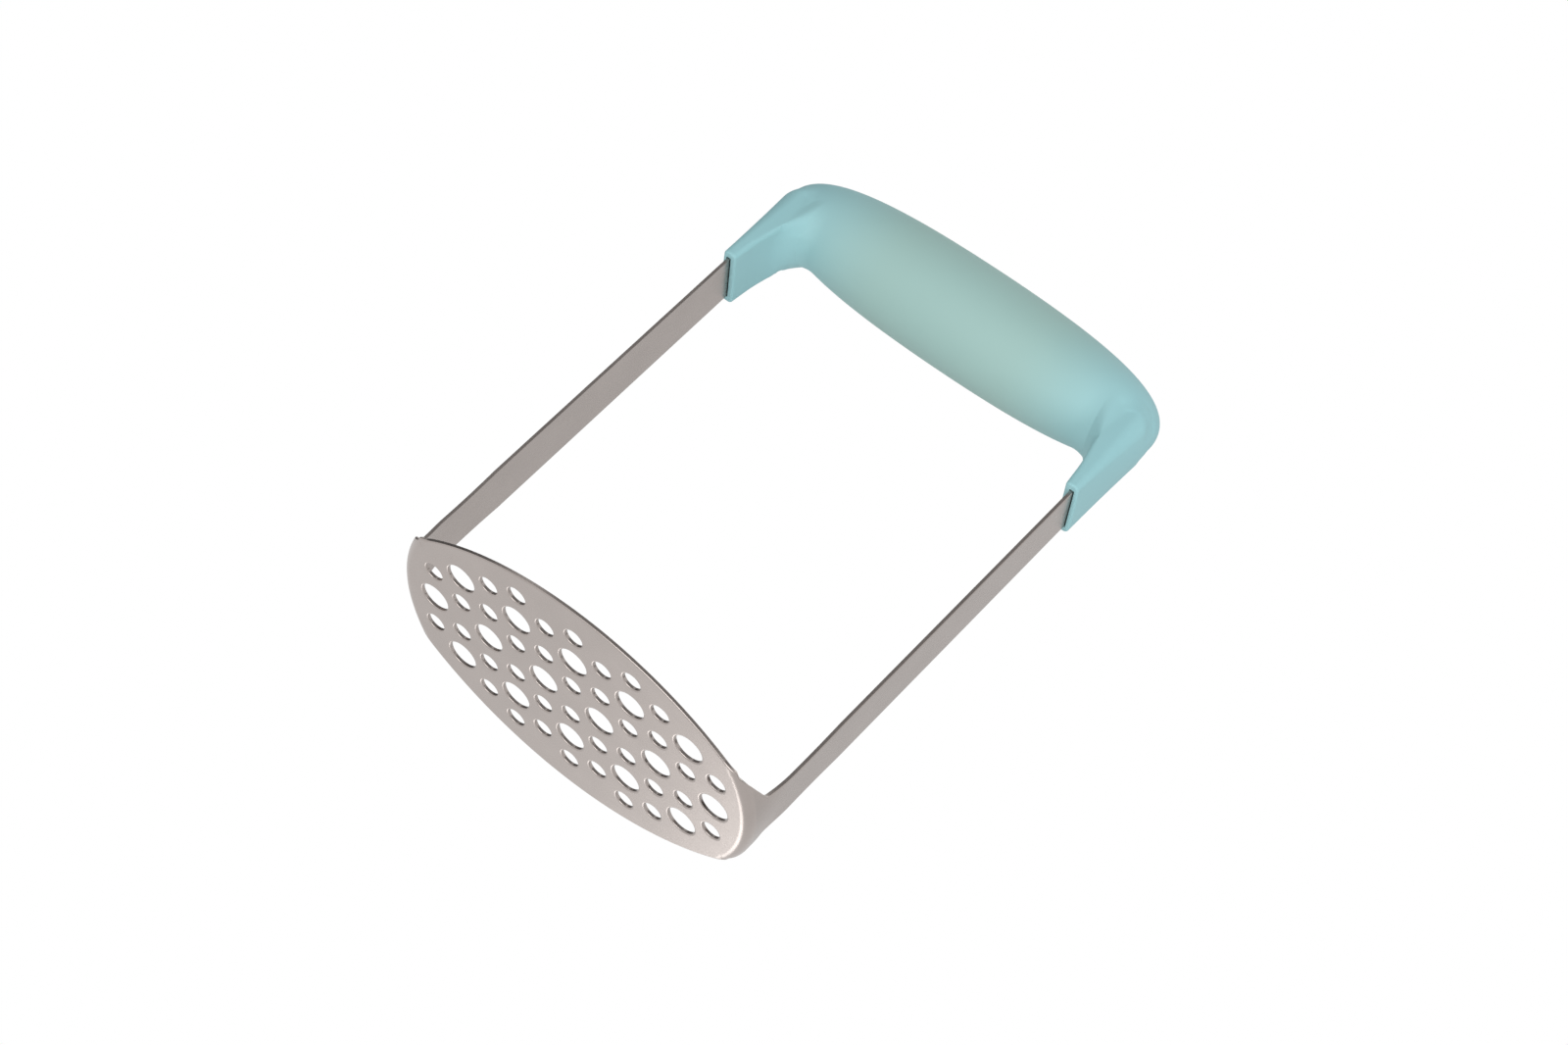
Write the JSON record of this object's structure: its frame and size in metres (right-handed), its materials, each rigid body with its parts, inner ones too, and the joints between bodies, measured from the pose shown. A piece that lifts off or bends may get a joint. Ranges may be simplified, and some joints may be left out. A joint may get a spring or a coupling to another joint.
{
  "type": "potato masher",
  "caption": "Hand potato masher: a perforated lens-shaped steel head folds up into two flat straps joined by a soft barrel grip across the top",
  "frame": {"origin": "middle of the underside of the head, on the surface that the masher stands on", "axes": "+X along the grip, +Y across the head, +Z from the head up to the grip"},
  "size_m": [0.1188, 0.0746, 0.17],
  "materials": {
    "stainless": "stamped sheet with a soft satin polish",
    "core": "plain moulded",
    "grip": "smooth matte soft-touch, pale turquoise"
  },
  "bodies": {
    "root": {"blade_frame": "stainless", "core_front": "core", "core_rear": "core", "grip_skin": "grip"}
  },
  "joints": []
}
